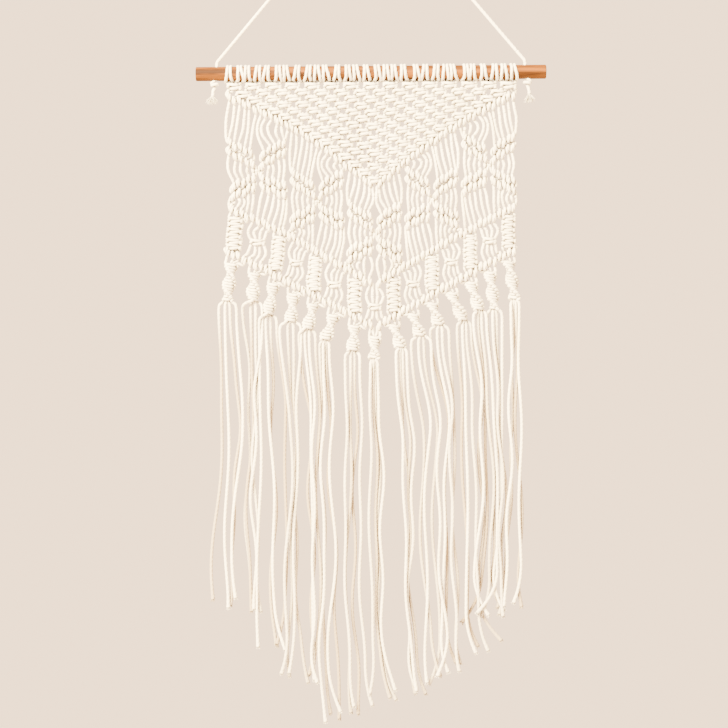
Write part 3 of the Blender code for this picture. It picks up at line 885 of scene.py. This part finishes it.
class Pieces:
    """The surfaces of all strands, gathered by the piece that each stretch is in, and their lines."""

    def __init__(self):
        self.surfaces, self.routes = {}, {}

    def add(self, strand, start_along, warped):
        """Adds a strand, whose plies start at a place along their lay, and returns its line and tints. On
        the fringe, the tints hold painted shade.
        """
        points = strand.points
        if warped:
            points = [(x + sideways(x, z), y, z) for x, y, z in points]
        places, radii, marks = smooth_curve(points, strand.radii)
        side, other = frames_along(places)
        steps = np.linalg.norm(np.diff(places, axis=0), axis=1)
        along = start_along + np.concatenate([[0.0], np.cumsum(steps)])
        tint_and_shade = np.full(len(places), random.uniform(*TINTS))
        # under its spiral, a fringe strand's tint goes over to its painted shade
        if strand.shade is not None:
            share = np.clip((places[:, 2] - strand.shade_from + PAINTED_SHADE_RUN) / PAINTED_SHADE_RUN, 0.0, 1.0)
            tint_and_shade = strand.shade + (tint_and_shade - strand.shade) * share
        last = len(strand.points) - 1
        start = 0
        for i in range(1, last + 2):
            if i <= last and strand.nodes[i] == strand.nodes[start]:
                continue
            run = slice(marks[start], marks[min(i, last)] + 1)
            surface = self.surfaces.setdefault(strand.nodes[start], Surface())
            surface.add_tube(places[run], radii[run], side[run], other[run], along[run], tint_and_shade[run])
            self.routes.setdefault(strand.nodes[start], []).append(places[run])
            start = i
        return places, tint_and_shade


def fray(surface, places, tint_and_shade, count, length, spread, radius):
    """Loose fibres past a strand's end, fanned out from its last few millimetres."""
    end = places[-1]
    ahead = places[-1] - places[-4]
    ahead /= np.linalg.norm(ahead)
    across, back = np.cross(ahead, (0.0, 1.0, 0.0)), np.array((0.0, 1.0, 0.0))
    for _ in range(count):
        turn, lean = random.uniform(0, 2 * math.pi), spread * math.sqrt(random.uniform(0.0, 1.0))
        out = across * math.cos(turn) + back * math.sin(turn)
        reach = length * random.uniform(0.6, 1.1)
        root = end - ahead * 1.0 + out * random.uniform(0.2, 1.1)
        points = []
        for t in np.linspace(0.0, 1.0, 5):
            points.append(root + ahead * reach * t + out * lean * t**1.4 + jitter(0.15))
        surface.add_fibre(points, radius * random.uniform(0.7, 1.2), tint_and_shade[-1] + jitter(0.1))


def lay_strands():
    for cord in range(STRANDS // 2):
        larks_head(cord)
    square_knot_net()
    chevron("upper_chevron")
    for number in range(STRANDS // CROSS_LANES):
        cross(number)
    chevron("middle_chevron")
    lower_columns()
    chevron("lower_chevron")
    for column in range(COLUMNS):
        fringe(column)


# Frayed ends: how many fibres, how long, how far they fan out, and their radius
TIP = (15, 3.3, 2.0, 0.32)  # a strand of the fringe
BRUSH = (110, 9.0, 6.0, 0.26)  # an end of the hanging cord


def all_pieces():
    pieces = Pieces()
    for number, strand in enumerate(strands):
        places, tint_and_shade = pieces.add(strand, number * LAY_SHIFT, warped=True)
        fray(pieces.surfaces[strand.nodes[-1]], places, tint_and_shade, *TIP)
    places, tint_and_shade = pieces.add(hanging_cord(), 0.0, warped=False)
    for name, line in (("stop_knot_left", places), ("stop_knot_right", places[::-1])):
        fray(pieces.surfaces[name], line, tint_and_shade, *BRUSH)
    return pieces


def attach(obj, name):
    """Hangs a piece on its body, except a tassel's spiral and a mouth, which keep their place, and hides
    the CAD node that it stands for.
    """
    kind = name.split("_")[0]
    if kind == "fringe":
        body = "tassel_" + name.split("_")[1]
        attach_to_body(obj, body)
        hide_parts(body)
    elif kind == "tassel":
        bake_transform(obj)
        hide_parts(name)
    elif kind == "mouth":
        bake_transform(obj)
        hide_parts("hanging_cord")
    else:
        body = {"hanging": "hanger", "stop": "dowel"}.get(kind, "panel")
        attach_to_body(obj, body)
        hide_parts(name)


def build_cords():
    cotton = cotton_material("natural_cotton")
    pieces = all_pieces()
    for name, surface in pieces.surfaces.items():
        obj = surface.build(name + "_cords", cotton)
        attach(obj, name)


def finish_dowel():
    dowel = frame["nodes"]["dowel"]
    dowel.data.materials.clear()
    dowel.data.materials.append(wood_material())


# Stage

VIEW_CENTRE = (-9.0, -474.0)
VIEW_WIDTH = 728.0
CAMERA_AWAY = 2000.0
CAMERA_ROLL = math.radians(0.4)
SENSOR = 36.0

ROOM_COLOUR, ROOM_STRENGTH = (1.0, 0.69, 0.42, 1.0), 3.5
KEY_AT, KEY_AIMS_AT = (-1.2, -1.8, 0.9), (0.0, 0.0, -0.4)  # metres, as the rest of the stage
KEY_SIZE, KEY_POWER, KEY_COLOUR = 1.2, 1150.0, (1.0, 0.83, 0.47)
FLOOR_RADIUS, FLOOR_AT = 4.0, (0.0, 0.0, -1.9)
FLOOR_COLOUR, FLOOR_ROUGHNESS = (0.78, 0.72, 0.67, 1.0), 0.9


def camera():
    data = bpy.data.cameras.new("camera")
    data.sensor_width = SENSOR
    data.lens = SENSOR * CAMERA_AWAY / VIEW_WIDTH
    obj = bpy.data.objects.new("camera", data)
    bpy.context.scene.collection.objects.link(obj)
    obj.location = Vector((VIEW_CENTRE[0], -CAMERA_AWAY, VIEW_CENTRE[1])) * MM
    obj.rotation_euler = (math.pi / 2, CAMERA_ROLL, 0.0)
    bpy.context.scene.camera = obj


def area_light(name, place, target, size, power, colour):
    data = bpy.data.lights.new(name, "AREA")
    data.size = size
    data.energy = power
    data.color = colour
    obj = bpy.data.objects.new(name, data)
    bpy.context.scene.collection.objects.link(obj)
    obj.location = place
    obj.rotation_euler = (Vector(target) - Vector(place)).to_track_quat("-Z", "Y").to_euler()


def stage():
    world = bpy.data.worlds.new("room")
    bpy.context.scene.world = world
    world.use_nodes = True
    background = world.node_tree.nodes["Background"]
    background.inputs["Color"].default_value = ROOM_COLOUR
    background.inputs["Strength"].default_value = ROOM_STRENGTH
    area_light("key", KEY_AT, KEY_AIMS_AT, KEY_SIZE, KEY_POWER, KEY_COLOUR)
    bpy.ops.mesh.primitive_circle_add(vertices=96, radius=FLOOR_RADIUS, fill_type="NGON", location=FLOOR_AT)
    floor = bpy.context.object
    floor.name = "floor"
    paint, _, shader = new_material("pale_floor")
    shader.inputs["Base Color"].default_value = FLOOR_COLOUR
    shader.inputs["Roughness"].default_value = FLOOR_ROUGHNESS
    floor.data.materials.append(paint)


camera()
stage()
lay_strands()
build_cords()
finish_dowel()
